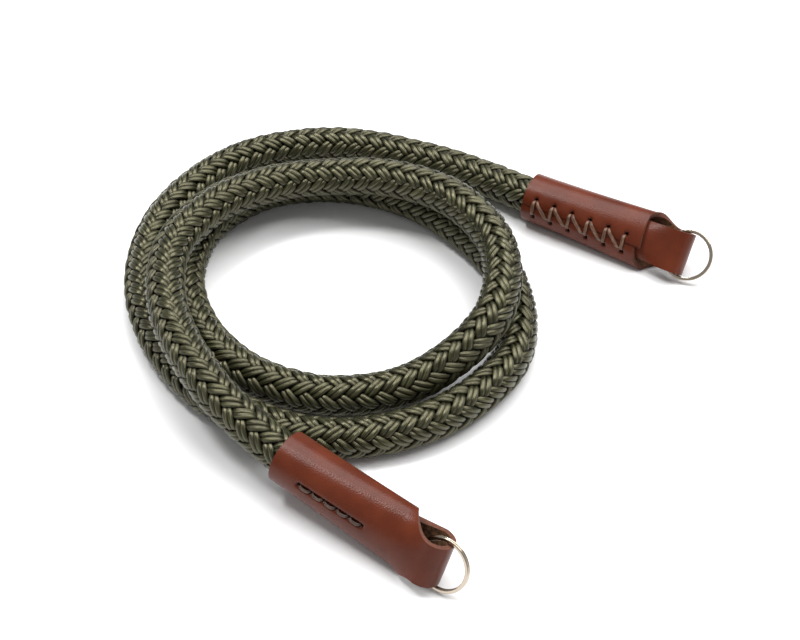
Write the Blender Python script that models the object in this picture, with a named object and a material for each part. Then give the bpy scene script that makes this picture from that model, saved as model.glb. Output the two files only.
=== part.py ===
"""Rope camera strap, laid down in a loose coil: braided rope, two leather end sleeves, two split rings."""

import math

import bmesh
import bpy
import numpy as np
from mathutils import Matrix, Vector

MM = 0.001

# Rope
ROPE_DIAMETER = 12.0 * MM
ROPE_END_DIAMETER = 10.1 * MM
ROPE_END_DEPTH = 26.0 * MM
ROPE_POINTS = 80
ROPE_SIDE_STEPS = 4
SAMPLES_BETWEEN = 40

# Where the coil lies on the table, and the rope's turns from the far sleeve to the near one.
# Each row is a radius, and a height as a share of the rope's diameter.
COIL_CENTRE = (-53.0 * MM, 36.3 * MM)
FIRST_BEARING = 60.0
BEARING_STEP = 30.0
TURNS = (
    (63.9, 0.50), (63.6, 0.50), (63.9, 0.50), (60.9, 0.50), (57.7, 0.50), (56.8, 0.50),
    (59.4, 0.50), (64.2, 0.50), (65.6, 0.50), (64.2, 0.50), (55.2, 0.50), (46.8, 0.50),
    (43.4, 0.50), (43.6, 0.50), (45.7, 0.50), (46.0, 0.50), (44.6, 0.50), (43.8, 0.50),
    (45.4, 0.50), (48.2, 0.50), (52.0, 0.70), (55.9, 1.36), (52.3, 1.52), (45.2, 1.53),
    (38.5, 1.47), (35.6, 1.36), (36.9, 1.40), (41.3, 1.51), (47.7, 1.53), (53.2, 1.54),
    (63.6, 1.52),
)
# The two short stretches between the turns and the sleeves: across, away, and height as a share
FAR_LEAD = (-2.7 * MM, 82.3 * MM, 0.53)
NEAR_LEAD = (-72.0 * MM, -31.8 * MM, 1.25)

# Leather sleeve
LEATHER = 1.5 * MM
ROPE_CLEARANCE = 0.3 * MM
SLEEVE_LENGTH = 40.0 * MM
FLAP_STEP = 0.85 * MM
RIM_WIDTH = 18.8 * MM
RIM_DEPTH = 12.5 * MM
FLARE_POWER = 1.4
FLATTEN_POWER = 1.4
SEAM_GAP = 0.5 * MM
SEAM_OFFSET = 3.1 * MM
TAB_REACH = 15.0 * MM
FOLD_REACH = SLEEVE_LENGTH + TAB_REACH
TAB_WIDTH = 13.2 * MM
TAB_FILLET = 10.0 * MM
FILLET_POWER = 2.2
TAB_CLEARANCE = 0.35 * MM
TAB_OVERLAP = 6.0 * MM

# Split ring
RING_SLACK = 3.0 * MM
RING_OUTER = TAB_WIDTH + RING_SLACK
RING_WIRE = 1.1 * MM
RING_TURN = 0.55 * MM
RING_TURN_GAP = 0.12 * MM
RING_JOG = 40.0
RING_STEP = 8.0
RING_START = 200.0
RING_CHAMFER = 0.12 * MM
RING_HINGE_DEPTH = 5.7 * MM

# Each sleeve's mouth, the bearing and dip of its axis and the roll of its smooth side in degrees, and how
# far its ring's centre lies inside the fold
NEAR_MOUTH = (-62.3 * MM, -39.6 * MM, 12.4 * MM)
FAR_MOUTH = (11.8 * MM, 71.8 * MM, 8.0 * MM)
NEAR_RING_IN = 1.0 * MM
FAR_RING_IN = 0.5 * MM
SLEEVES = {
    "near": {"mouth": NEAR_MOUTH, "bearing": -37.0, "dip": 5.1, "roll": 25.0, "ring_in": NEAR_RING_IN},
    "far": {"mouth": FAR_MOUTH, "bearing": -30.2, "dip": 0.0, "roll": 220.5, "ring_in": FAR_RING_IN},
}

# Sheet divisions
BODY_ROWS = 14
FILLET_ROWS = 5
BEND_ROWS = 8
RETURN_ROWS = 5
TAB_COLUMNS = 14
FLAP_COLUMNS = 3


def clear_scene():
    for item in list(bpy.data.objects):
        bpy.data.objects.remove(item, do_unlink=True)


def make_material(name, colour, roughness, metallic):
    material = bpy.data.materials.new(name)
    material.use_nodes = True
    shader = material.node_tree.nodes["Principled BSDF"]
    shader.inputs["Base Color"].default_value = (*colour, 1.0)
    shader.inputs["Roughness"].default_value = roughness
    shader.inputs["Metallic"].default_value = metallic
    material.diffuse_color = (*colour, 1.0)
    return material


def add_mesh_object(name, bm, material, placement=None):
    """Links a mesh object and gives it its material and its place."""
    bmesh.ops.recalc_face_normals(bm, faces=bm.faces)
    mesh = bpy.data.meshes.new(name)
    bm.to_mesh(mesh)
    bm.free()
    mesh.shade_smooth()
    mesh.set_sharp_from_angle(angle=math.radians(35.0))
    mesh.materials.append(material)
    item = bpy.data.objects.new(name, mesh)
    if placement is not None:
        item.matrix_world = placement
    bpy.context.collection.objects.link(item)
    return item


def sleeve_placement(side):
    """Local X runs from the mouth to the fold, Y along the fold line, Z out of the smooth side."""
    place = SLEEVES[side]
    bearing = math.radians(place["bearing"])
    dip = math.radians(place["dip"])
    roll = math.radians(place["roll"])
    level = math.cos(dip)
    axis = Vector((math.cos(bearing) * level, math.sin(bearing) * level, -math.sin(dip)))
    across = Vector((-math.sin(bearing), math.cos(bearing), 0.0))
    upward = axis.cross(across)
    fold_line = across * math.sin(roll) + upward * math.cos(roll)
    smooth_side = upward * math.sin(roll) - across * math.cos(roll)
    turn = Matrix((axis, fold_line, smooth_side)).transposed().to_4x4()
    return Matrix.Translation(Vector(place["mouth"])) @ turn


# Rope

def route_points():
    """The rope's route from its hidden far end to its hidden near end."""
    far = sleeve_placement("far")
    near = sleeve_placement("near")
    points = [far @ Vector((ROPE_END_DEPTH * share, 0.0, 0.0)) for share in (1.0, 0.5, 0.0)]
    points.append(Vector((FAR_LEAD[0], FAR_LEAD[1], FAR_LEAD[2] * ROPE_DIAMETER)))
    for step, (radius, height) in enumerate(TURNS):
        bearing = math.radians(FIRST_BEARING + BEARING_STEP * step)
        across = COIL_CENTRE[0] + radius * MM * math.cos(bearing)
        away = COIL_CENTRE[1] + radius * MM * math.sin(bearing)
        points.append(Vector((across, away, height * ROPE_DIAMETER)))
    points.append(Vector((NEAR_LEAD[0], NEAR_LEAD[1], NEAR_LEAD[2] * ROPE_DIAMETER)))
    points.extend(near @ Vector((ROPE_END_DEPTH * share, 0.0, 0.0)) for share in (0.0, 0.5, 1.0))
    return points


def smooth_route(points, count):
    """Evenly spaced points on a smooth curve through the route's points."""
    knots = [0.0]
    for start, end in zip(points, points[1:]):
        knots.append(knots[-1] + math.sqrt((end - start).length))
    padded = [points[0] * 2 - points[1], *points, points[-1] * 2 - points[-2]]
    times = [2 * knots[0] - knots[1], *knots, 2 * knots[-1] - knots[-2]]
    dense = []
    for i in range(1, len(padded) - 2):
        for part in range(SAMPLES_BETWEEN):
            time = times[i] + (times[i + 1] - times[i]) * part / SAMPLES_BETWEEN
            point = blend_between(padded[i - 1:i + 3], times[i - 1:i + 3], time)
            point.z = max(point.z, ROPE_DIAMETER / 2)
            dense.append(point)
    dense.append(points[-1])
    dense = np.array([tuple(point) for point in dense])
    lengths = np.linalg.norm(np.diff(dense, axis=0), axis=1)
    travelled = np.concatenate(([0.0], np.cumsum(lengths)))
    stations = np.linspace(0.0, travelled[-1], count)
    rows = [np.interp(stations, travelled, dense[:, k]) for k in range(3)]
    return np.stack(rows, axis=1), stations


def blend_between(corners, times, time):
    """One point of a centripetal curve between the middle two of four corners."""
    def mix(first, second, low, high):
        return first.lerp(second, (time - times[low]) / (times[high] - times[low]))

    first = mix(corners[0], corners[1], 0, 1)
    middle = mix(corners[1], corners[2], 1, 2)
    last = mix(corners[2], corners[3], 2, 3)
    return mix(mix(first, middle, 0, 2), mix(middle, last, 1, 3), 1, 2)


def make_rope(material):
    points, stations = smooth_route(route_points(), ROPE_POINTS)
    curve = bpy.data.curves.new("rope", "CURVE")
    curve.dimensions = "3D"
    curve.bevel_depth = ROPE_DIAMETER / 2
    curve.bevel_resolution = ROPE_SIDE_STEPS
    curve.render_resolution_u = 0
    curve.use_fill_caps = True
    spline = curve.splines.new("POLY")
    spline.points.add(len(points) - 1)
    end_share = ROPE_END_DIAMETER / ROPE_DIAMETER
    for knot, point, station in zip(spline.points, points, stations):
        from_end = min(station, stations[-1] - station)
        knot.co = (*point, 1.0)
        knot.radius = min(1.0, end_share + (1.0 - end_share) * from_end / ROPE_END_DEPTH)
    curve.materials.append(material)
    item = bpy.data.objects.new("rope", curve)
    bpy.context.collection.objects.link(item)


# Leather sleeve

def oval_table(half_width, half_depth):
    angles = np.linspace(0.0, math.pi, 181)
    outline = np.stack((half_width * np.sin(angles), half_depth * np.cos(angles)), axis=1)
    steps = np.linalg.norm(np.diff(outline, axis=0), axis=1)
    return angles, np.concatenate(([0.0], np.cumsum(steps)))


def oval_point(half_width, half_depth, arc):
    """The point at a distance round an oval from the middle of its smooth side."""
    angles, lengths = oval_table(half_width, half_depth)
    way_round = 2.0 * lengths[-1]
    if abs(arc) > lengths[-1]:
        arc -= math.copysign(way_round, arc)
    angle = math.copysign(np.interp(abs(arc), lengths, angles), arc)
    return Vector((0.0, half_width * math.sin(angle), half_depth * math.cos(angle)))


def section_sizes(along):
    """Half width and half depth of the leather's outer face at a distance from the mouth."""
    mouth = ROPE_DIAMETER / 2 + ROPE_CLEARANCE + LEATHER
    flare = (min(along, SLEEVE_LENGTH) / SLEEVE_LENGTH) ** FLARE_POWER
    return mouth + (RIM_WIDTH / 2 - mouth) * flare, mouth + (RIM_DEPTH / 2 - mouth) * flare


def tab_heights():
    """The tab's outer face beside the smooth side, and where it comes back under the flaps."""
    back = RIM_DEPTH / 2 - LEATHER - TAB_CLEARANCE
    return RIM_DEPTH / 2, -back


def body_point(row, column_share, flap_share, side):
    """A point of the wrapped part. flap_share is 0 on the tab's columns and 1 at the seam."""
    length = SLEEVE_LENGTH - side * FLAP_STEP * flap_share
    along = length * row / BODY_ROWS
    half_width, half_depth = section_sizes(along)
    half_round = oval_table(half_width, half_depth)[1][-1] - SEAM_GAP / 2 - side * SEAM_OFFSET
    tab_edge = TAB_WIDTH / 2 + TAB_FILLET
    arc = column_share * tab_edge + side * flap_share * (half_round - tab_edge)
    point = oval_point(half_width, half_depth, arc)
    point.x = along
    return point


def fillet_point(row, column_share):
    """A point where the rim's hollow fillets narrow the smooth side into the tab."""
    turn = math.pi / 2 * row / FILLET_ROWS
    along = SLEEVE_LENGTH + TAB_FILLET * (1.0 - math.cos(turn))
    half_arc = TAB_WIDTH / 2 + TAB_FILLET * max(0.0, math.cos(turn)) ** FILLET_POWER
    half_width, half_depth = section_sizes(along)
    curved = oval_point(half_width, half_depth, column_share * half_arc)
    flat = Vector((0.0, column_share * half_arc, half_depth))
    point = curved.lerp(flat, (1.0 - math.cos(turn)) ** FLATTEN_POWER)
    point.x = along
    return point


def bend_point(row, column_share):
    """A point of the fold that holds the ring."""
    front, back = tab_heights()
    radius = (front - back) / 2
    centre = FOLD_REACH - radius
    turn = math.pi * row / BEND_ROWS
    along = centre + radius * math.sin(turn)
    return Vector((along, column_share * TAB_WIDTH / 2, (front + back) / 2 + radius * math.cos(turn)))


def return_point(row, column_share):
    """A point of the tab's end, which comes back inside and curves to fit under the flaps."""
    front, back = tab_heights()
    start = FOLD_REACH - (front - back) / 2
    along = start + (SLEEVE_LENGTH - TAB_OVERLAP - start) * row / RETURN_ROWS
    half_width, half_depth = section_sizes(along)
    inset = LEATHER + TAB_CLEARANCE
    curved = oval_point(half_width - inset, half_depth - inset, column_share * TAB_WIDTH / 2)
    curved.z = -curved.z
    flat = Vector((0.0, column_share * TAB_WIDTH / 2, back))
    share = min(1.0, (start - along) / (start - SLEEVE_LENGTH))
    point = flat.lerp(curved, share)
    point.x = along
    return point


def sleeve_sheet(bm):
    """The leather's outer face as one flat pattern that is wrapped, narrowed and folded."""
    shares = [2.0 * i / TAB_COLUMNS - 1.0 for i in range(TAB_COLUMNS + 1)]
    rows = []
    for row in range(BODY_ROWS + 1):
        left = [body_point(row, -1.0, 1.0 - i / FLAP_COLUMNS, -1.0) for i in range(FLAP_COLUMNS)]
        middle = [body_point(row, share, 0.0, 1.0) for share in shares]
        right = [body_point(row, 1.0, (i + 1) / FLAP_COLUMNS, 1.0) for i in range(FLAP_COLUMNS)]
        rows.append([bm.verts.new(point) for point in left + middle + right])
    join_rows(bm, rows)
    tab_rows = [rows[-1][FLAP_COLUMNS:FLAP_COLUMNS + TAB_COLUMNS + 1]]
    sections = ((fillet_point, FILLET_ROWS), (bend_point, BEND_ROWS), (return_point, RETURN_ROWS))
    for maker, count in sections:
        for row in range(1, count + 1):
            tab_rows.append([bm.verts.new(maker(row, share)) for share in shares])
    join_rows(bm, tab_rows)


def join_rows(bm, rows):
    for first, second in zip(rows, rows[1:]):
        for a, b, c, d in zip(first, first[1:], second[1:], second):
            bm.faces.new((d, c, b, a))


def make_sleeve(side, material):
    bm = bmesh.new()
    sleeve_sheet(bm)
    thicken(bm, LEATHER)
    placement = sleeve_placement(side)
    bm.transform(placement)
    for vertex in bm.verts:
        vertex.co.z = max(vertex.co.z, 0.0)
    bm.transform(placement.inverted())
    add_mesh_object("sleeve_" + side, bm, material, placement)


def thicken(bm, thickness):
    """Adds the leather's inner face and cut edges, inward from its outer face."""
    bm.normal_update()
    outer = list(bm.verts)
    faces = list(bm.faces)
    border = [edge for edge in bm.edges if edge.is_boundary]
    inner = {vertex: bm.verts.new(vertex.co - vertex.normal * thickness * vertex.calc_shell_factor())
             for vertex in outer}
    for face in faces:
        bm.faces.new([inner[vertex] for vertex in reversed(face.verts)])
    for edge in border:
        first, second = edge.verts
        bm.faces.new((first, second, inner[second], inner[first]))


# Split ring

def make_ring(side, material):
    """Two turns of flat wire that change layer over a short jog, with the wire's ends beside it."""
    bm = bmesh.new()
    sweep = 720.0 - RING_JOG
    steps = int(sweep / RING_STEP)
    radius = (RING_OUTER - RING_WIRE) / 2
    layer = (RING_TURN + RING_TURN_GAP) / 2
    half_wire = RING_WIRE / 2
    half_turn = RING_TURN / 2
    cut = RING_CHAMFER
    outline = (
        (half_wire, half_turn - cut), (half_wire - cut, half_turn),
        (cut - half_wire, half_turn), (-half_wire, half_turn - cut),
        (-half_wire, cut - half_turn), (cut - half_wire, -half_turn),
        (half_wire - cut, -half_turn), (half_wire, cut - half_turn),
    )
    loops = []
    for step in range(steps + 1):
        degrees = sweep * step / steps
        jog = min(1.0, max(0.0, (degrees - (360.0 - RING_JOG)) / RING_JOG))
        lift = layer * math.sin(math.pi * (jog - 0.5))
        angle = math.radians(degrees + RING_START)
        loops.append([
            bm.verts.new(((radius + out) * math.cos(angle), (radius + out) * math.sin(angle), lift + up))
            for out, up in outline
        ])
    for first, second in zip(loops, loops[1:]):
        for i in range(len(outline)):
            after = (i + 1) % len(outline)
            bm.faces.new((first[i], first[after], second[after], second[i]))
    bm.faces.new(loops[0])
    bm.faces.new(loops[-1])
    front, back = tab_heights()
    hinge = FOLD_REACH - RING_HINGE_DEPTH
    centre = FOLD_REACH - SLEEVES[side]["ring_in"]
    bmesh.ops.translate(bm, vec=(centre - hinge, 0.0, 0.0), verts=bm.verts)
    placement = sleeve_placement(side) @ Matrix.Translation((hinge, 0.0, (front + back) / 2))
    add_mesh_object("ring_" + side, bm, material, placement)


def main():
    clear_scene()
    rope = make_material("rope_olive", (0.09, 0.085, 0.05), 0.9, 0.0)
    make_rope(rope)
    for side in SLEEVES:
        leather = make_material("leather_" + side, (0.11, 0.03, 0.018), 0.5, 0.0)
        steel = make_material("steel_" + side, (0.62, 0.61, 0.58), 0.25, 1.0)
        make_sleeve(side, leather)
        make_ring(side, steel)


main()
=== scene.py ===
"""A rope camera strap in a loose coil: braided strands, leather sleeves, sewing and split rings."""

import math
from collections import namedtuple
from functools import lru_cache

import bmesh
import bpy
import numpy as np
from mathutils import Matrix, Vector


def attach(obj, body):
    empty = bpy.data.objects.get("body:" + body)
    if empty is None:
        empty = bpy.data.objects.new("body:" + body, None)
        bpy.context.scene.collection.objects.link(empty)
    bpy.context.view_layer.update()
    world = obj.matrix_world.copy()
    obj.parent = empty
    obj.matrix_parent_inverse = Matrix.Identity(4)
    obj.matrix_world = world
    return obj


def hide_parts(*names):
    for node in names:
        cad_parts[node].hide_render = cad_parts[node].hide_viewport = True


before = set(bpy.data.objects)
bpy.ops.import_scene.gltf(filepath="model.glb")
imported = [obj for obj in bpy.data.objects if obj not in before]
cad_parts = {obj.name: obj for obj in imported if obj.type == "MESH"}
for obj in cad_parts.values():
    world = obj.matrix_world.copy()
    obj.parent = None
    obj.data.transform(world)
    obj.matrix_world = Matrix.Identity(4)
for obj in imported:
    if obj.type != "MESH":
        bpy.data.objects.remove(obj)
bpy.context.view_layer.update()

MM = 0.001

# Camera, fitted to the photograph
CAMERA_PLACE = (-31.0 * MM, -318.7 * MM, 361.0 * MM)
CAMERA_TILT = 43.5
CAMERA_LENS = 72.585
CAMERA_SENSOR = 36.0

# Rope and its route, the same as the solid's
ROPE_DIAMETER = 12.0 * MM
ROPE_END_DIAMETER = 10.1 * MM
ROPE_END_DEPTH = 26.0 * MM
SAMPLES_BETWEEN = 40
COIL_CENTRE = (-53.0 * MM, 36.3 * MM)
FIRST_BEARING = 60.0
BEARING_STEP = 30.0
# Distance from the coil's centre in mm and height in rope diameters, at every step of bearing
TURNS = (
    (63.9, 0.50), (63.6, 0.50), (63.9, 0.50), (60.9, 0.50), (57.7, 0.50), (56.8, 0.50),
    (59.4, 0.50), (64.2, 0.50), (65.6, 0.50), (64.2, 0.50), (55.2, 0.50), (46.8, 0.50),
    (43.4, 0.50), (43.6, 0.50), (45.7, 0.50), (46.0, 0.50), (44.6, 0.50), (43.8, 0.50),
    (45.4, 0.50), (48.2, 0.50), (52.0, 0.70), (55.9, 1.36), (52.3, 1.52), (45.2, 1.53),
    (38.5, 1.47), (35.6, 1.36), (36.9, 1.40), (41.3, 1.51), (47.7, 1.53), (53.2, 1.54),
    (63.6, 1.52),
)
# The points between the coil and each sleeve: across, away, and height in rope diameters
FAR_LEAD = (-2.7 * MM, 82.3 * MM, 0.53)
NEAR_LEAD = (-72.0 * MM, -31.8 * MM, 1.25)

# Braid: eight strands laid each way, two yarns to a strand, over two and under two
STRANDS_EACH_WAY = 8
PLAIT_STEP = 2.57 * MM
YARN_WIDTH = 1.8 * MM
YARN_HEIGHT = 1.35 * MM
YARN_SPACING = 1.62 * MM
DIVE_NARROWING = 0.24
WAVE_HEIGHT = 0.6 * MM
WAVE_CROWN = 0.13 * MM
WAVE_SQUARENESS = 2.2
YARN_WANDER = 0.09 * MM
YARN_SWELL = 0.07 * MM
YARN_FLATTENING = 0.15
YARN_SECTIONS_PER_STEP = 3.3
YARN_SHORTEST_STEP = 0.2 * MM
YARN_SIDES = 8
BRAID_START = 0.6
BRAID_PROUD = 0.1 * MM
BRAID_SEED = 20
CORE_RADIUS = 3.5 * MM
CORE_SECTIONS = 300
CORE_SIDES = 12

# Tubes, which yarns, core and thread are made of
TUBE_SQUARENESS = 0.85
# Painted shade on every tube: its flanks and underside keep FLANK_SHADE of the light, its outer face all of
# it
FLANK_SHADE = 0.15
FLANK_POWER = 0.8
TEXTURE_SHIFT = 0.37

# Leather sleeve, the same as the solid's apart from the closed seam
LEATHER = 1.5 * MM
ROPE_CLEARANCE = 0.3 * MM
SLEEVE_LENGTH = 40.0 * MM
FLAP_STEP = 0.85 * MM
RIM_WIDTH = 18.8 * MM
RIM_DEPTH = 12.5 * MM
FLARE_POWER = 1.4
FLATTEN_POWER = 1.4
SEAM_GAP = 0.14 * MM
SEAM_OFFSET = 3.1 * MM
FOLD_REACH = SLEEVE_LENGTH + 15.0 * MM
TAB_WIDTH = 13.2 * MM
TAB_FILLET = 10.0 * MM
FILLET_POWER = 2.2
TAB_CLEARANCE = 0.35 * MM
TAB_OVERLAP = 6.0 * MM
EDGE_ROUNDING = 0.5 * MM
EDGE_ROUNDING_STEPS = 3
EDGE_ANGLE = 60.0

BODY_ROWS = 110
FILLET_ROWS = 26
BEND_ROWS = 30
RETURN_ROWS = 24
TAB_COLUMNS = 100
FLAP_COLUMNS = 18
GRID_ROWS = BODY_ROWS + FILLET_ROWS + BEND_ROWS + RETURN_ROWS
GRID_COLUMNS = TAB_COLUMNS + 2 * FLAP_COLUMNS

# Sewing
HOLE_RADIUS = 0.6 * MM
HOLE_DEPTH = 1.1 * MM
HOLE_REACH = 3.5
HOLE_RIM_DEPTH = 0.2 * MM
HOLE_RIM_SPREAD = 1.8
# Painted shade in each needle hole, and this share of it round the hole's rim
HOLE_RIM_SHADE = 0.12
SEAM_HOLES = 6
SEAM_FIRST_HOLE = 4.3 * MM
SEAM_HOLE_PITCH = 6.25 * MM
SEAM_UPPER_OFF = 3.05 * MM
SEAM_LOWER_OFF = -3.25 * MM
SEAM_GROOVE = 0.28 * MM
SEAM_GROOVE_WIDTH = 1.7 * MM
SEAM_GROOVE_END = SLEEVE_LENGTH - 4.0 * MM
SEAM_GROOVE_FADE = 1.2 * MM
SEAM_LINE_WIDTH = 0.16 * MM
# Painted shade along the seam's line
SEAM_LINE_SHADE = 0.55
ROW_HOLES = 6
ROW_FIRST_HOLE = 9.7 * MM
ROW_HOLE_PITCH = 4.18 * MM
ROW_ARC = -0.5 * MM
SLIT_HALF_WIDTH = 0.85 * MM
SLIT_DEPTH = 0.6 * MM
SLIT_REACH = 3.0
# Painted shade in the slit
SLIT_SHADE = 0.5
THREAD_WIDTH = 1.1 * MM
THREAD_HEIGHT = 0.62 * MM
THREAD_SWELL = 0.12
THREAD_SECTIONS = 17
THREAD_SIDES = 10
THREAD_STEEPNESS = 1.9
THREAD_ROUNDING = 0.9
THREAD_SINK = 0.6
SEAM_THREAD_INSET = 0.5 * MM
SEAM_THREAD_DIVE = 0.75 * MM
# The stitch to the hole below and the one to the next: where they leave and where they land along the
# sleeve, how far up they land, and how high their middle rises
SEAM_STITCHES = ((-0.45 * MM, -0.3 * MM, 0.0, 0.3 * MM), (0.3 * MM, -0.9 * MM, 0.4 * MM, 0.5 * MM))
ROW_THREAD_WIDTH = 0.9 * MM
ROW_THREAD_INSET = 0.3 * MM
ROW_THREAD_BOW = -0.45 * MM
ROW_THREAD_DIVE = 1.1 * MM
ROW_THREAD_PEAK = -0.15 * MM
# Painted shade on the loops that lie down in the slit
ROW_THREAD_SHADE = 0.45

# Split ring
RING_OUTER = 16.2 * MM
RING_WIRE = 1.1 * MM
RING_TURN = 0.55 * MM
RING_TURN_GAP = 0.12 * MM
RING_JOG = 40.0
RING_START = 200.0
RING_STEP = 2.9
RING_SQUARENESS = 0.55
RING_SECTION_SIDES = 16
RING_SHARP_ANGLE = 50.0

# Lights: place, size in metres, watts
LIGHTS = {
    "softbox_back": ((0.32, 0.4, 1.25), (1.6, 1.1), 32.0),
    "softbox_left": ((-0.48, 0.16, 1.15), (0.26, 0.26), 7.0),
}
ROOM_LIGHT = 0.4

# Middle of each mouth in mm, angles in degrees, and how many mm the ring's centre lies inside the fold
SLEEVES = {
    "near": {"mouth": (-62.3, -39.6, 12.4), "bearing": -37.0, "dip": 5.1, "roll": 25.0, "ring_in": 1.0},
    "far": {"mouth": (11.8, 71.8, 8.0), "bearing": -30.2, "dip": 0.0, "roll": 220.5, "ring_in": 0.5},
}


# Materials

def new_material(name, colour, roughness, metallic=0.0):
    material = bpy.data.materials.new(name)
    material.use_nodes = True
    shader = material.node_tree.nodes["Principled BSDF"]
    shader.inputs["Base Color"].default_value = (*colour, 1.0)
    shader.inputs["Roughness"].default_value = roughness
    shader.inputs["Metallic"].default_value = metallic
    return material, material.node_tree, shader


def add_node(tree, kind, **inputs):
    node = tree.nodes.new(kind)
    for name, value in inputs.items():
        node.inputs[name.replace("_", " ")].default_value = value
    return node


def ramp(tree, source, stops):
    """A colour ramp fed by a socket. stops are (place, colour)."""
    node = tree.nodes.new("ShaderNodeValToRGB")
    elements = node.color_ramp.elements
    for element, (place, colour) in zip(elements, (stops[0], stops[-1])):
        element.position = place
        element.color = (*colour, 1.0)
    for place, colour in stops[1:-1]:
        elements.new(place).color = (*colour, 1.0)
    tree.links.new(source, node.inputs["Fac"])
    return node.outputs["Color"]


def multiply(tree, first, second):
    """One colour socket times another."""
    product = tree.nodes.new("ShaderNodeMix")
    product.data_type = "RGBA"
    product.blend_type = "MULTIPLY"
    product.inputs["Factor"].default_value = 1.0
    tree.links.new(first, product.inputs["A"])
    tree.links.new(second, product.inputs["B"])
    return product.outputs["Result"]


def kept_value(tree, name):
    """A number that the mesh keeps at each vertex."""
    node = tree.nodes.new("ShaderNodeAttribute")
    node.attribute_name = name
    return node.outputs["Fac"]


def fibre_noise(tree, scale, turn=0.0):
    """Noise drawn out along a tube, through the tube's own texture places."""
    uv = tree.nodes.new("ShaderNodeUVMap")
    uv.uv_map = "yarn"
    mapping = add_node(tree, "ShaderNodeMapping", Scale=scale, Rotation=(0.0, 0.0, turn))
    tree.links.new(uv.outputs["UV"], mapping.inputs["Vector"])
    noise = add_node(tree, "ShaderNodeTexNoise", Scale=1.0, Detail=4.0, Roughness=0.6)
    tree.links.new(mapping.outputs["Vector"], noise.inputs["Vector"])
    return noise.outputs["Fac"]


def fixed_texture(tree, kind, **inputs):
    """A texture fixed to the object. Returns its node."""
    place = tree.nodes.new("ShaderNodeTexCoord")
    texture = add_node(tree, kind, **inputs)
    tree.links.new(place.outputs["Object"], texture.inputs["Vector"])
    return texture


def bump(tree, shader, height, distance, strength=1.0):
    node = add_node(tree, "ShaderNodeBump", Distance=distance, Strength=strength)
    tree.links.new(height, node.inputs["Height"])
    tree.links.new(node.outputs["Normal"], shader.inputs["Normal"])


def yarn_material(name, tone):
    """Glossy synthetic yarn round one middle tone: fine filaments, with painted shade where it dives under.
    """
    material, tree, shader = new_material(name, tone, 0.3)
    shader.inputs["Specular Tint"].default_value = (1.0, 0.94, 0.62, 1.0)
    shader.inputs["Specular IOR Level"].default_value = 0.75
    shader.inputs["Anisotropic"].default_value = 0.85
    shader.inputs["Anisotropic Rotation"].default_value = 0.25
    tangent = tree.nodes.new("ShaderNodeTangent")
    tangent.direction_type = "UV_MAP"
    tangent.uv_map = "yarn"
    tree.links.new(tangent.outputs["Tangent"], shader.inputs["Tangent"])
    filaments = fibre_noise(tree, (90.0, 17.0, 1.0))
    dark = tuple(channel * 0.2 for channel in tone)
    pale = tuple(channel * 4.6 for channel in tone)
    colour = ramp(tree, filaments, ((0.36, dark), (0.52, tone), (0.64, pale)))
    # Painted shade: the kept share of light darkens the yarn where it dives under and on its flanks
    shade = ramp(tree, kept_value(tree, "light"), (
        (0.0, (0.02, 0.02, 0.016)), (0.6, (0.3, 0.31, 0.28)), (0.95, (1.0, 1.0, 1.0))))
    tree.links.new(multiply(tree, colour, shade), shader.inputs["Base Color"])
    bump(tree, shader, filaments, 0.16 * MM)
    return material


def leather_material():
    """Smooth veg-tanned grain, red-brown, with fine pebbling, blotches and painted shade at the sewing."""
    material, tree, shader = new_material("leather_grain", (0.1, 0.0198, 0.0076), 0.29)
    shader.inputs["Specular IOR Level"].default_value = 0.18
    blotches = fixed_texture(tree, "ShaderNodeTexNoise", Scale=110.0, Detail=5.0)
    colour = ramp(tree, blotches.outputs["Fac"], (
        (0.3, (0.076, 0.0148, 0.006)), (0.55, (0.1, 0.0202, 0.008)), (0.8, (0.122, 0.026, 0.0102))))
    # Painted shade in the sewing holes, along the seam's line and in the slit
    shade = ramp(tree, kept_value(tree, "painted_sewing_shade"), (
        (0.0, (1.0, 1.0, 1.0)), (0.45, (0.5, 0.42, 0.4)), (0.8, (0.05, 0.04, 0.04))))
    tree.links.new(multiply(tree, colour, shade), shader.inputs["Base Color"])
    pebbles = fixed_texture(tree, "ShaderNodeTexVoronoi", Scale=2600.0, Randomness=1.0)
    bump(tree, shader, pebbles.outputs["Distance"], 0.045 * MM, 0.8)
    return material


def rough_leather(name, dark, light, scale, depth):
    """Leather without its grain, mottled from dark to light: the flesh side or a cut edge."""
    material, tree, shader = new_material(name, light, 0.85)
    fibres = fixed_texture(tree, "ShaderNodeTexNoise", Scale=scale, Detail=8.0, Roughness=0.65)
    colour = ramp(tree, fibres.outputs["Fac"], ((0.35, dark), (0.65, light)))
    tree.links.new(colour, shader.inputs["Base Color"])
    bump(tree, shader, fibres.outputs["Fac"], depth)
    return material


def thread_material():
    """Waxed thread of fine flax fibres, streaked pale and dark, with painted shade on its flanks."""
    material, tree, shader = new_material("waxed_thread", (0.2, 0.12, 0.07), 0.5)
    fibres = fibre_noise(tree, (420.0, 7.0, 1.0), 0.35)
    colour = ramp(tree, fibres, (
        (0.32, (0.045, 0.02, 0.011)), (0.52, (0.14, 0.066, 0.036)), (0.72, (0.28, 0.155, 0.095))))
    # Painted shade: the kept share of light darkens the thread's flanks and the loops in the slit
    shade = ramp(tree, kept_value(tree, "light"), ((0.0, (0.0, 0.0, 0.0)), (1.0, (1.0, 1.0, 1.0))))
    tree.links.new(multiply(tree, colour, shade), shader.inputs["Base Color"])
    bump(tree, shader, fibres, 0.15 * MM)
    return material


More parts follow.
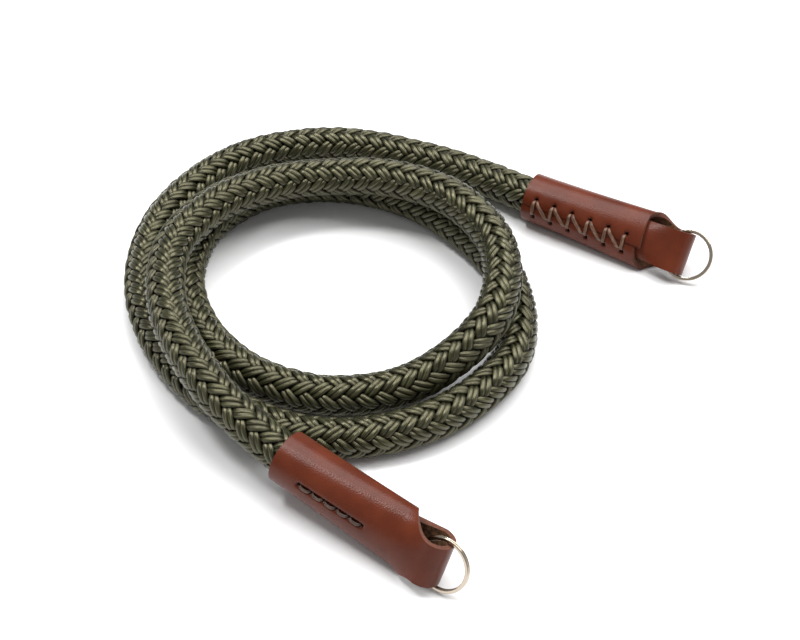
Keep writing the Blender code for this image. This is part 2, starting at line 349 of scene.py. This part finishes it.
def steel_material():
    """Nickel-plated spring steel, faintly warm, with fine handling scratches."""
    material, tree, shader = new_material("plated_steel", (0.5, 0.43, 0.35), 0.14, 1.0)
    scratches = fixed_texture(tree, "ShaderNodeTexNoise", Scale=1800.0, Detail=3.0)
    spread = ramp(tree, scratches.outputs["Fac"], ((0.3, (0.08, 0.08, 0.08)), (0.7, (0.2, 0.2, 0.2))))
    tree.links.new(spread, shader.inputs["Roughness"])
    bump(tree, shader, scratches.outputs["Fac"], 0.006 * MM)
    return material


# Meshes

# One oval tube, section by section. light is the painted share of light that reaches a section.
Tube = namedtuple("Tube", "points outward half_width half_height light")


def add_object(name, mesh, materials, body):
    for material in materials:
        mesh.materials.append(material)
    item = bpy.data.objects.new(name, mesh)
    bpy.context.scene.collection.objects.link(item)
    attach(item, body)
    return item


def unit_rows(vectors):
    return vectors / np.linalg.norm(vectors, axis=1)[:, None]


def distances_along(points):
    """The distance travelled to each of a row of points."""
    return np.concatenate(([0.0], np.cumsum(np.linalg.norm(np.diff(points, axis=0), axis=1))))


def squared(value, power):
    """A sine or cosine pushed outwards, which makes a circle's section squarer."""
    return np.sign(value) * np.abs(value) ** power


def swept_rings(tube, turn):
    """The corners round every section of one tube."""
    along = unit_rows(np.gradient(tube.points, axis=0))
    side = unit_rows(np.cross(tube.outward, along))
    up = np.cross(along, side)
    across = squared(np.cos(turn), TUBE_SQUARENESS)
    upward = squared(np.sin(turn), TUBE_SQUARENESS)
    wide = side[:, None] * (tube.half_width[:, None] * across)[..., None]
    high = up[:, None] * (tube.half_height[:, None] * upward)[..., None]
    return (tube.points[:, None] + wide + high).reshape(-1, 3)


def tube_faces(points, sides):
    """Corner numbers and texture places of one tube's side faces."""
    travelled = distances_along(points)
    section, step = np.meshgrid(np.arange(len(points) - 1), np.arange(sides), indexing="ij")
    after = (step + 1) % sides
    low = section * sides
    high = low + sides
    faces = np.stack((low + step, low + after, high + after, high + step), axis=-1).reshape(-1, 4)
    start, end = travelled[section], travelled[section + 1]
    left, right = step / sides, (step + 1) / sides
    places = np.stack((start, left, start, right, end, right, end, left), axis=-1)
    return faces, places.reshape(-1)


def tube_mesh(name, tubes, sides):
    """One mesh of many closed oval tubes, each vertex keeping a painted share of light."""
    turn = np.linspace(0.0, 2.0 * np.pi, sides, endpoint=False)
    corners, faces, places, caps = [], [], [], []
    start = 0
    for number, tube in enumerate(tubes):
        corners.append(swept_rings(tube, turn))
        side_faces, side_places = tube_faces(tube.points, sides)
        faces.extend((side_faces + start).tolist())
        places.append(side_places + TEXTURE_SHIFT * number)
        last = start + (len(tube.points) - 1) * sides
        caps.append([start + i for i in reversed(range(sides))])
        caps.append([last + i for i in range(sides)])
        start = last + sides
    places.append(np.zeros(2 * sides * len(caps)))
    mesh = bpy.data.meshes.new(name)
    mesh.from_pydata(np.concatenate(corners).tolist(), [], faces + caps)
    layer = mesh.uv_layers.new(name="yarn")
    layer.data.foreach_set("uv", np.concatenate(places).astype(np.float32))
    # Painted shade: less light on each tube's flanks and underside than on its outer face
    flank = FLANK_SHADE + (1.0 - FLANK_SHADE) * np.clip(np.sin(turn), 0.0, 1.0) ** FLANK_POWER
    light = np.concatenate([np.outer(tube.light, flank).ravel() for tube in tubes])
    attribute = mesh.attributes.new("light", "FLOAT", "POINT")
    attribute.data.foreach_set("value", light.astype(np.float32))
    mesh.shade_smooth()
    mesh.update()
    return mesh


# Rope

def sleeve_placement(side):
    """Local X runs from the mouth to the fold, Y along the fold line, Z out of the smooth side."""
    place = SLEEVES[side]
    bearing = math.radians(place["bearing"])
    dip = math.radians(place["dip"])
    roll = math.radians(place["roll"])
    level = math.cos(dip)
    axis = Vector((math.cos(bearing) * level, math.sin(bearing) * level, -math.sin(dip)))
    across = Vector((-math.sin(bearing), math.cos(bearing), 0.0))
    upward = axis.cross(across)
    fold_line = across * math.sin(roll) + upward * math.cos(roll)
    smooth_side = upward * math.sin(roll) - across * math.cos(roll)
    turn = Matrix((axis, fold_line, smooth_side)).transposed().to_4x4()
    return Matrix.Translation(Vector(place["mouth"]) * MM) @ turn


def route_points():
    """The rope's route from its hidden far end to its hidden near end."""
    far = sleeve_placement("far")
    near = sleeve_placement("near")
    points = [far @ Vector((ROPE_END_DEPTH * share, 0.0, 0.0)) for share in (1.0, 0.5, 0.0)]
    points.append(Vector((FAR_LEAD[0], FAR_LEAD[1], FAR_LEAD[2] * ROPE_DIAMETER)))
    for step, (radius, height) in enumerate(TURNS):
        bearing = math.radians(FIRST_BEARING + BEARING_STEP * step)
        across = COIL_CENTRE[0] + radius * MM * math.cos(bearing)
        away = COIL_CENTRE[1] + radius * MM * math.sin(bearing)
        points.append(Vector((across, away, height * ROPE_DIAMETER)))
    points.append(Vector((NEAR_LEAD[0], NEAR_LEAD[1], NEAR_LEAD[2] * ROPE_DIAMETER)))
    points.extend(near @ Vector((ROPE_END_DEPTH * share, 0.0, 0.0)) for share in (0.0, 0.5, 1.0))
    return points


def blend_between(corners, times, time):
    """One point of a centripetal curve between the middle two of four corners."""
    def mix(first, second, low, high):
        return first.lerp(second, (time - times[low]) / (times[high] - times[low]))

    first = mix(corners[0], corners[1], 0, 1)
    middle = mix(corners[1], corners[2], 1, 2)
    last = mix(corners[2], corners[3], 2, 3)
    return mix(mix(first, middle, 0, 2), mix(middle, last, 1, 3), 1, 2)


def smooth_route(points):
    """A dense smooth curve through the route's points, and the distance travelled along it."""
    knots = [0.0]
    for start, end in zip(points, points[1:]):
        knots.append(knots[-1] + math.sqrt((end - start).length))
    padded = [points[0] * 2 - points[1], *points, points[-1] * 2 - points[-2]]
    times = [2 * knots[0] - knots[1], *knots, 2 * knots[-1] - knots[-2]]
    dense = []
    for i in range(1, len(padded) - 2):
        for part in range(SAMPLES_BETWEEN):
            time = times[i] + (times[i + 1] - times[i]) * part / SAMPLES_BETWEEN
            point = blend_between(padded[i - 1:i + 3], times[i - 1:i + 3], time)
            point.z = max(point.z, ROPE_DIAMETER / 2)
            dense.append(point)
    dense.append(points[-1])
    dense = np.array([tuple(point) for point in dense])
    return dense, distances_along(dense)


class Centreline:
    """The rope's middle line with a cross-section frame carried along it without twist."""

    def __init__(self):
        dense, travelled = smooth_route(route_points())
        self.length = travelled[-1]
        count = int(self.length / (1.0 * MM))
        self.stations = np.linspace(0.0, self.length, count)
        self.points = np.stack([np.interp(self.stations, travelled, dense[:, k]) for k in range(3)], axis=1)
        along = unit_rows(np.gradient(self.points, axis=0))
        first = [np.cross((0.0, 0.0, 1.0), along[0])]
        for i in range(1, count):
            carried = first[-1] - along[i] * np.dot(first[-1], along[i])
            first.append(carried / np.linalg.norm(carried))
        self.first = unit_rows(np.array(first))
        self.second = np.cross(along, self.first)

    def at(self, stations, values):
        """Values kept along the line, read at other distances along it."""
        return np.stack([np.interp(stations, self.stations, values[:, k]) for k in range(3)], axis=1)

    def squeeze(self, stations):
        """How far the sleeves press the rope's ends in, as a share of its thickness."""
        from_end = np.minimum(stations, self.length - stations)
        end_share = ROPE_END_DIAMETER / ROPE_DIAMETER
        return np.clip(end_share + (1.0 - end_share) * from_end / ROPE_END_DEPTH, end_share, 1.0)

    def surface(self, stations, angles, radii):
        """Points round the line at the given angles and radii, and their outward directions."""
        outward = (np.cos(angles)[:, None] * self.at(stations, self.first)
                   + np.sin(angles)[:, None] * self.at(stations, self.second))
        radii = radii * self.squeeze(stations)
        return self.at(stations, self.points) + outward * radii[:, None], outward


def braided_yarns(line, hand, place_in_strand):
    """One yarn of every strand laid one way. hand is 1 or -1, and so is place_in_strand."""
    random = np.random.default_rng(BRAID_SEED + 3 * hand + place_in_strand)
    unit_round = math.pi / STRANDS_EACH_WAY
    across = unit_round * ROPE_DIAMETER / 2
    slant = math.hypot(across, PLAIT_STEP)
    middle = ROPE_DIAMETER / 2 + BRAID_PROUD - YARN_HEIGHT / 2 - WAVE_HEIGHT - WAVE_CROWN
    steps = line.length / PLAIT_STEP
    step = np.linspace(0.0, steps, int(steps * YARN_SECTIONS_PER_STEP))
    tubes = []
    for strand in range(STRANDS_EACH_WAY):
        crest = hand * np.cos(math.pi / 2 * (2 * strand - hand * step - 0.5))
        lift = np.tanh(WAVE_SQUARENESS * crest) / math.tanh(WAVE_SQUARENESS)
        narrowing = 1.0 - DIVE_NARROWING * (1.0 - np.clip(lift, 0.0, 1.0))
        wander = YARN_WANDER * np.sin(step * random.uniform(0.4, 1.1) + random.uniform(0.0, 6.0))
        sideways = place_in_strand * YARN_SPACING / 2 * narrowing + wander
        unit = 2 * strand - hand * step + sideways * PLAIT_STEP / slant / across
        stations = np.clip(PLAIT_STEP * step + hand * sideways * across / slant, 0.0, line.length)
        swell = YARN_SWELL * np.sin(step * random.uniform(0.5, 0.9) + random.uniform(0.0, 6.0))
        radii = middle + WAVE_HEIGHT * lift + WAVE_CROWN * crest + swell
        points, outward = line.surface(stations, (unit + BRAID_START) * unit_round, radii)
        width = YARN_WIDTH / 2 * narrowing
        height = YARN_HEIGHT / 2 * (1.0 - YARN_FLATTENING + YARN_FLATTENING * np.clip(lift, 0.0, 1.0))
        apart = np.linalg.norm(np.diff(points, axis=0), axis=1) > YARN_SHORTEST_STEP
        keep = np.concatenate(([True], apart))
        # Painted shade: the yarn keeps less light the deeper it dives under its neighbours
        tubes.append(Tube(*(part[keep] for part in (points, outward, width, height, (lift + 1.0) / 2))))
    return tubes


def make_core(line):
    """The filling that shows between the yarns, near-black as painted shade in the gaps."""
    stations = np.linspace(0.0, line.length, CORE_SECTIONS)
    thick = CORE_RADIUS * line.squeeze(stations)
    tube = Tube(line.at(stations, line.points), line.at(stations, line.first), thick, thick, 0.0 * stations)
    # Painted shade: the core is near-black so the gaps between yarns read as deep shadow
    dark, _, _ = new_material("rope_core", (0.012, 0.012, 0.008), 0.95)
    return add_object("rope_core", tube_mesh("rope_core", [tube], CORE_SIDES), [dark], "strap")


def make_rope():
    line = Centreline()
    yarn = {
        1: yarn_material("yarn_left", (0.0188, 0.0189, 0.0087)),
        -1: yarn_material("yarn_right", (0.017, 0.0172, 0.008)),
    }
    for hand, way in ((1, "left"), (-1, "right")):
        for place, which in ((-1, "first"), (1, "second")):
            name = f"rope_{way}_laid_{which}"
            mesh = tube_mesh(name, braided_yarns(line, hand, place), YARN_SIDES)
            add_object(name, mesh, [yarn[hand]], "strap")
    core = make_core(line)
    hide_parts("rope")


# Leather

@lru_cache(maxsize=4096)
def oval_table(half_width, half_depth):
    """Angles half round an oval, and the distance round to each of them."""
    angles = np.linspace(0.0, math.pi, 181)
    outline = np.stack((half_width * np.sin(angles), half_depth * np.cos(angles)), axis=1)
    return angles, distances_along(outline)


def oval_point(half_width, half_depth, arc):
    """A point at a distance round an oval from its smooth side's middle, and its outward direction."""
    angles, lengths = oval_table(half_width, half_depth)
    if abs(arc) > lengths[-1]:
        arc -= math.copysign(2.0 * lengths[-1], arc)
    angle = math.copysign(np.interp(abs(arc), lengths, angles), arc)
    point = Vector((0.0, half_width * math.sin(angle), half_depth * math.cos(angle)))
    outward = Vector((0.0, math.sin(angle) / half_width, math.cos(angle) / half_depth)).normalized()
    return point, outward


def section_sizes(along):
    """Half the width and half the depth of the sleeve's oval, outside the leather."""
    mouth = ROPE_DIAMETER / 2 + ROPE_CLEARANCE + LEATHER
    flare = (min(along, SLEEVE_LENGTH) / SLEEVE_LENGTH) ** FLARE_POWER
    return mouth + (RIM_WIDTH / 2 - mouth) * flare, mouth + (RIM_DEPTH / 2 - mouth) * flare


def half_round(along):
    """Half the distance round the sleeve."""
    return oval_table(*section_sizes(along))[1][-1]


def seam_arc(along):
    """Where the butt seam lies, as a distance round from the middle of the smooth side."""
    return half_round(along) - SEAM_OFFSET


def on_sleeve(along, arc, lift):
    """A point on the wrapped part, raised above the grain, and its outward direction."""
    point, outward = oval_point(*section_sizes(along), arc)
    point = point + outward * lift
    point.x = along
    return point, outward


def sewing_holes():
    """The holes as (distance from the mouth, distance round): two rows by the seam, one opposite."""
    upper = [(SEAM_FIRST_HOLE + SEAM_HOLE_PITCH * i, SEAM_UPPER_OFF) for i in range(SEAM_HOLES)]
    lower = [(SEAM_FIRST_HOLE + SEAM_HOLE_PITCH * i, SEAM_LOWER_OFF) for i in range(SEAM_HOLES)]
    seam = [(along, seam_arc(along) + off) for along, off in upper + lower]
    row = [(ROW_FIRST_HOLE + ROW_HOLE_PITCH * i, ROW_ARC) for i in range(ROW_HOLES)]
    return seam, row


def round_gap(along, arc, other_arc):
    """The shortest way round the sleeve from one place to another."""
    whole = 2.0 * half_round(along)
    return (arc - other_arc + whole / 2) % whole - whole / 2


def hole_press(along, arc, holes):
    """Depth of the bowls round the needle holes, and the painted shade in and round them."""
    depth = 0.0
    dark = 0.0
    for hole_along, hole_arc in holes:
        distance = math.hypot(along - hole_along, round_gap(along, arc, hole_arc))
        if distance < HOLE_REACH * HOLE_RADIUS:
            bowl = math.exp(-(distance / HOLE_RADIUS) ** 4)
            rim = math.exp(-(distance / (HOLE_RIM_SPREAD * HOLE_RADIUS)) ** 2)
            depth = max(depth, HOLE_DEPTH * bowl + HOLE_RIM_DEPTH * rim)
            dark = max(dark, bowl + HOLE_RIM_SHADE * rim)
    return depth, dark


def seam_press(along, arc):
    """Depth of the groove that the seam's thread pulls in, and the painted shade on the seam's line."""
    sewn = 1.0 / (1.0 + math.exp((along - SEAM_GROOVE_END) / SEAM_GROOVE_FADE))
    off = round_gap(along, arc, seam_arc(along))
    depth = SEAM_GROOVE * sewn * math.exp(-(off / SEAM_GROOVE_WIDTH) ** 2)
    return depth, SEAM_LINE_SHADE * math.exp(-(off / SEAM_LINE_WIDTH) ** 2)


def slit_press(along, arc):
    """Depth of the sewn slit opposite the seam, and the painted shade in it."""
    last = ROW_FIRST_HOLE + ROW_HOLE_PITCH * (ROW_HOLES - 1)
    off = math.hypot(arc - ROW_ARC, max(0.0, ROW_FIRST_HOLE - along, along - last))
    if off >= SLIT_REACH * SLIT_HALF_WIDTH:
        return 0.0, 0.0
    channel = math.exp(-(off / SLIT_HALF_WIDTH) ** 4)
    return SLIT_DEPTH * channel, SLIT_SHADE * channel


def pressed_grain(along, arc, holes):
    """How far sewing presses the grain in at a place, and the painted shade it has there."""
    hole_depth, hole_painted_shade = hole_press(along, arc, holes)
    seam_depth, seam_painted_shade = seam_press(along, arc)
    slit_depth, slit_painted_shade = slit_press(along, arc)
    return max(hole_depth + seam_depth, slit_depth), min(1.0, max(hole_painted_shade, seam_painted_shade, slit_painted_shade))


def body_place(row, column_share, flap_share, side):
    """Distance from the mouth and distance round of a grid vertex on the wrapped part."""
    length = SLEEVE_LENGTH - side * FLAP_STEP * flap_share
    along = length * row / BODY_ROWS
    tab_edge = TAB_WIDTH / 2 + TAB_FILLET
    edge = half_round(along) - SEAM_GAP / 2 - side * SEAM_OFFSET
    return along, column_share * tab_edge + side * flap_share * (edge - tab_edge)


def fillet_point(row, column_share):
    """A point where the wrapped part narrows into the flat tab."""
    turn = math.pi / 2 * row / FILLET_ROWS
    along = SLEEVE_LENGTH + TAB_FILLET * (1.0 - math.cos(turn))
    half_arc = TAB_WIDTH / 2 + TAB_FILLET * max(0.0, math.cos(turn)) ** FILLET_POWER
    half_width, half_depth = section_sizes(along)
    curved, _ = oval_point(half_width, half_depth, column_share * half_arc)
    flat = Vector((0.0, column_share * half_arc, half_depth))
    point = curved.lerp(flat, (1.0 - math.cos(turn)) ** FLATTEN_POWER)
    point.x = along
    return point


def tab_heights():
    """Heights of the tab's outer face before and after its fold."""
    return RIM_DEPTH / 2, -(RIM_DEPTH / 2 - LEATHER - TAB_CLEARANCE)


def bend_point(row, column_share):
    """A point on the fold that holds the ring."""
    front, back = tab_heights()
    radius = (front - back) / 2
    turn = math.pi * row / BEND_ROWS
    along = FOLD_REACH - radius + radius * math.sin(turn)
    return Vector((along, column_share * TAB_WIDTH / 2, (front + back) / 2 + radius * math.cos(turn)))


def return_point(row, column_share):
    """A point on the tab's end, tucked back inside the sleeve."""
    front, back = tab_heights()
    start = FOLD_REACH - (front - back) / 2
    along = start + (SLEEVE_LENGTH - TAB_OVERLAP - start) * row / RETURN_ROWS
    half_width, half_depth = section_sizes(along)
    inset = LEATHER + TAB_CLEARANCE
    curved, _ = oval_point(half_width - inset, half_depth - inset, column_share * TAB_WIDTH / 2)
    curved.z = -curved.z
    flat = Vector((0.0, column_share * TAB_WIDTH / 2, back))
    point = flat.lerp(curved, min(1.0, (start - along) / (start - SLEEVE_LENGTH)))
    point.x = along
    return point


def place_on_pattern(row, column, holes):
    """A grid vertex's place on the wrapped, narrowed and folded leather, and its painted shade."""
    tab_share = 2.0 * (column - FLAP_COLUMNS) / TAB_COLUMNS - 1.0
    if row <= BODY_ROWS:
        side = math.copysign(1.0, tab_share)
        flap = max(0.0, FLAP_COLUMNS - column, column - FLAP_COLUMNS - TAB_COLUMNS) / FLAP_COLUMNS
        along, arc = body_place(row, max(-1.0, min(1.0, tab_share)), flap, side)
        depth, dark = pressed_grain(along, arc, holes)
        return on_sleeve(along, arc, -depth)[0], dark
    row -= BODY_ROWS
    for maker, count in ((fillet_point, FILLET_ROWS), (bend_point, BEND_ROWS), (return_point, RETURN_ROWS)):
        if row <= count:
            return maker(row, tab_share), 0.0
        row -= count
    raise ValueError("row is past the end of the tab")


def on_grid(place):
    """The row and column of a place on the flat grid."""
    return (place.x + 1.0) / 2 * GRID_ROWS, (place.y + 1.0) / 2 * GRID_COLUMNS


def pattern_grid():
    """The flat pattern as a grid, with the leather beside the tab cut away."""
    bm = bmesh.new()
    bmesh.ops.create_grid(bm, x_segments=GRID_ROWS, y_segments=GRID_COLUMNS, size=1.0)
    cut_away = []
    for face in bm.faces:
        row, column = on_grid(face.calc_center_median())
        if row > BODY_ROWS and not FLAP_COLUMNS < column < FLAP_COLUMNS + TAB_COLUMNS:
            cut_away.append(face)
    bmesh.ops.delete(bm, geom=cut_away, context="FACES")
    return bm


def face_outward(bm, placement):
    """Turns all faces over if the one in the middle of the smooth side faces inward."""
    bm.normal_update()
    outward = placement.to_3x3() @ Vector((0.0, 0.0, 1.0))
    middle = placement @ Vector((SLEEVE_LENGTH / 2, 0.0, RIM_DEPTH / 2))
    top = min(bm.faces, key=lambda face: (face.calc_center_median() - middle).length)
    if top.normal.dot(outward) < 0.0:
        bmesh.ops.reverse_faces(bm, faces=bm.faces)


def sleeve_mesh(side):
    """The grain side of one sleeve, wrapped, folded and put in its place."""
    seam_holes, row_holes = sewing_holes()
    placement = sleeve_placement(side)
    bm = pattern_grid()
    # Each vertex keeps the painted shade that the sewing gives it
    shade_layer = bm.verts.layers.float.new("painted_sewing_shade")
    for vertex in bm.verts:
        row, column = on_grid(vertex.co)
        place = place_on_pattern(round(row), round(column), seam_holes + row_holes)
        vertex.co, vertex[shade_layer] = place
    bm.transform(placement)
    for vertex in bm.verts:
        vertex.co.z = max(vertex.co.z, 0.0)
    face_outward(bm, placement)
    mesh = bpy.data.meshes.new("leather_" + side)
    bm.to_mesh(mesh)
    bm.free()
    mesh.shade_smooth()
    return mesh


def make_sleeve(side, materials):
    item = add_object("leather_" + side, sleeve_mesh(side), materials, "strap")
    wall = item.modifiers.new("wall", "SOLIDIFY")
    wall.thickness = LEATHER
    wall.offset = -1.0
    wall.use_even_offset = True
    wall.material_offset = 1
    wall.material_offset_rim = 2
    rounding = item.modifiers.new("cut_edges", "BEVEL")
    rounding.width = EDGE_ROUNDING
    rounding.segments = EDGE_ROUNDING_STEPS
    rounding.limit_method = "ANGLE"
    rounding.angle_limit = math.radians(EDGE_ANGLE)
    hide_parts("sleeve_" + side)


# Thread

def thread_run(placement, start, end, width, bow, dive, peak):
    """A thread from one hole to another. Its ends dive below the grain and its middle rises to the peak
    above it. A straight thread sinks with the seam's groove. A bowed one runs sideways, clear of it."""
    points, outward = [], []
    for share in np.linspace(0.0, 1.0, THREAD_SECTIONS):
        hump = math.sin(math.pi * share)
        lift = -dive + (dive + peak) * min(1.0, THREAD_STEEPNESS * hump) ** THREAD_ROUNDING
        along = start[0] + (end[0] - start[0]) * share
        arc = start[1] + (end[1] - start[1]) * share + bow * hump
        groove = pressed_grain(along, arc, [])[0] if bow == 0.0 else 0.0
        point, out = on_sleeve(along, arc, lift - THREAD_SINK * groove)
        points.append(tuple(placement @ point))
        outward.append(tuple(placement.to_3x3() @ out))
    half_width = width / 2 * (1.0 + THREAD_SWELL * np.sin(np.linspace(0.0, math.pi, THREAD_SECTIONS)))
    half_height = np.full(THREAD_SECTIONS, THREAD_HEIGHT / 2)
    return Tube(np.array(points), np.array(outward), half_width, half_height, np.ones(THREAD_SECTIONS))


def seam_runs(placement, upper, lower):
    """Each upper hole sends one thread to the lower hole below it and one to the next."""
    runs = []
    for i, (along, arc) in enumerate(upper):
        start = arc - SEAM_THREAD_INSET
        end = lower[i][1] + SEAM_THREAD_INSET
        for hole, (leave, land, rise, peak) in zip(lower[i:], SEAM_STITCHES):
            runs.append(thread_run(placement, (along + leave, start), (hole[0] + land, end + rise),
                                   THREAD_WIDTH, 0.0, SEAM_THREAD_DIVE, peak))
    return runs


def row_runs(placement, row):
    """Short loops along the slit, one sagging between each two holes, in painted shade."""
    runs = []
    for first, second in zip(row, row[1:]):
        start = (first[0] + ROW_THREAD_INSET, ROW_ARC)
        end = (second[0] - ROW_THREAD_INSET, ROW_ARC)
        loop = thread_run(placement, start, end, ROW_THREAD_WIDTH,
                          ROW_THREAD_BOW, ROW_THREAD_DIVE, ROW_THREAD_PEAK)
        # Painted shade: the loops in the slit keep less light
        runs.append(loop._replace(light=loop.light * ROW_THREAD_SHADE))
    return runs


def make_thread(side, material):
    placement = sleeve_placement(side)
    seam_holes, row_holes = sewing_holes()
    runs = seam_runs(placement, seam_holes[:SEAM_HOLES], seam_holes[SEAM_HOLES:])
    runs += row_runs(placement, row_holes)
    mesh = tube_mesh("thread_" + side, runs, THREAD_SIDES)
    add_object("thread_" + side, mesh, [material], "strap")


# Split rings

def ring_mesh(side):
    """Two turns of flat wire with rounded edges, spun round the ring's axis with a jog between them."""
    radius = (RING_OUTER - RING_WIRE) / 2
    layer = (RING_TURN + RING_TURN_GAP) / 2
    front, back = tab_heights()
    centre = Vector((FOLD_REACH - SLEEVES[side]["ring_in"] * MM, 0.0, (front + back) / 2))
    bm = bmesh.new()
    bmesh.ops.create_circle(bm, cap_ends=True, segments=RING_SECTION_SIDES, radius=1.0)
    for vertex in bm.verts:
        out = squared(vertex.co.x, RING_SQUARENESS) * RING_WIRE / 2
        up = squared(vertex.co.y, RING_SQUARENESS) * RING_TURN / 2
        vertex.co = (radius + out, 0.0, up - layer)
    start = Matrix.Rotation(math.radians(RING_START), 4, "Z")
    bmesh.ops.transform(bm, matrix=start, verts=bm.verts)
    moving = bm.verts[:] + bm.edges[:] + bm.faces[:]
    for degrees, rise in ((360.0 - RING_JOG, 0.0), (RING_JOG, 2.0 * layer), (360.0 - RING_JOG, 0.0)):
        steps = round(degrees / RING_STEP)
        spun = bmesh.ops.spin(
            bm, geom=moving, cent=(0.0, 0.0, 0.0), axis=(0.0, 0.0, 1.0), dvec=(0.0, 0.0, rise / steps),
            angle=math.radians(degrees), steps=steps, use_duplicate=False)
        moving = spun["geom_last"]
    bmesh.ops.transform(bm, matrix=sleeve_placement(side) @ Matrix.Translation(centre), verts=bm.verts)
    bmesh.ops.recalc_face_normals(bm, faces=bm.faces)
    mesh = bpy.data.meshes.new("split_ring_" + side)
    bm.to_mesh(mesh)
    bm.free()
    mesh.shade_smooth()
    mesh.set_sharp_from_angle(angle=math.radians(RING_SHARP_ANGLE))
    return mesh


def make_ring(side, material):
    item = add_object("split_ring_" + side, ring_mesh(side), [material], side + "_ring")
    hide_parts("ring_" + side)


# Stage

def area_light(name, place, size, power):
    """A white rectangular softbox facing the middle of the table."""
    light = bpy.data.lights.new(name, "AREA")
    light.shape = "RECTANGLE"
    light.size, light.size_y = size
    light.energy = power
    item = bpy.data.objects.new(name, light)
    item.location = place
    item.rotation_euler = (-Vector(place)).to_track_quat("-Z", "Y").to_euler()
    bpy.context.scene.collection.objects.link(item)


def make_table():
    bm = bmesh.new()
    bmesh.ops.create_grid(bm, x_segments=1, y_segments=1, size=6.0)
    mesh = bpy.data.meshes.new("table_top")
    bm.to_mesh(mesh)
    bm.free()
    pale, _, _ = new_material("table_white", (0.87, 0.87, 0.872), 0.7)
    mesh.materials.append(pale)
    table = bpy.data.objects.new("table_top", mesh)
    bpy.context.scene.collection.objects.link(table)


def make_lights():
    """Plain white light from all round, and two softboxes."""
    world = bpy.data.worlds.new("studio")
    world.use_nodes = True
    background = world.node_tree.nodes["Background"]
    background.inputs["Color"].default_value = (1.0, 1.0, 1.0, 1.0)
    background.inputs["Strength"].default_value = ROOM_LIGHT
    bpy.context.scene.world = world
    for name, (place, size, power) in LIGHTS.items():
        area_light(name, place, size, power)


def make_camera():
    camera = bpy.data.cameras.new("camera")
    camera.lens = CAMERA_LENS
    camera.sensor_width = CAMERA_SENSOR
    camera.clip_start = 0.01
    item = bpy.data.objects.new("camera", camera)
    item.location = CAMERA_PLACE
    item.rotation_euler = (math.radians(CAMERA_TILT), 0.0, 0.0)
    bpy.context.scene.collection.objects.link(item)
    bpy.context.scene.camera = item


def main():
    bpy.context.scene.view_settings.view_transform = "Standard"
    make_camera()
    make_table()
    make_lights()
    make_rope()
    grain = leather_material()
    suede = rough_leather("leather_suede", (0.035, 0.014, 0.005), (0.22, 0.095, 0.035), 900.0, 0.25 * MM)
    cut_edge = rough_leather("leather_edge", (0.06, 0.018, 0.009), (0.135, 0.042, 0.02), 1500.0, 0.05 * MM)
    thread = thread_material()
    steel = steel_material()
    for side in SLEEVES:
        make_sleeve(side, [grain, suede, cut_edge])
        make_thread(side, thread)
        make_ring(side, steel)


main()
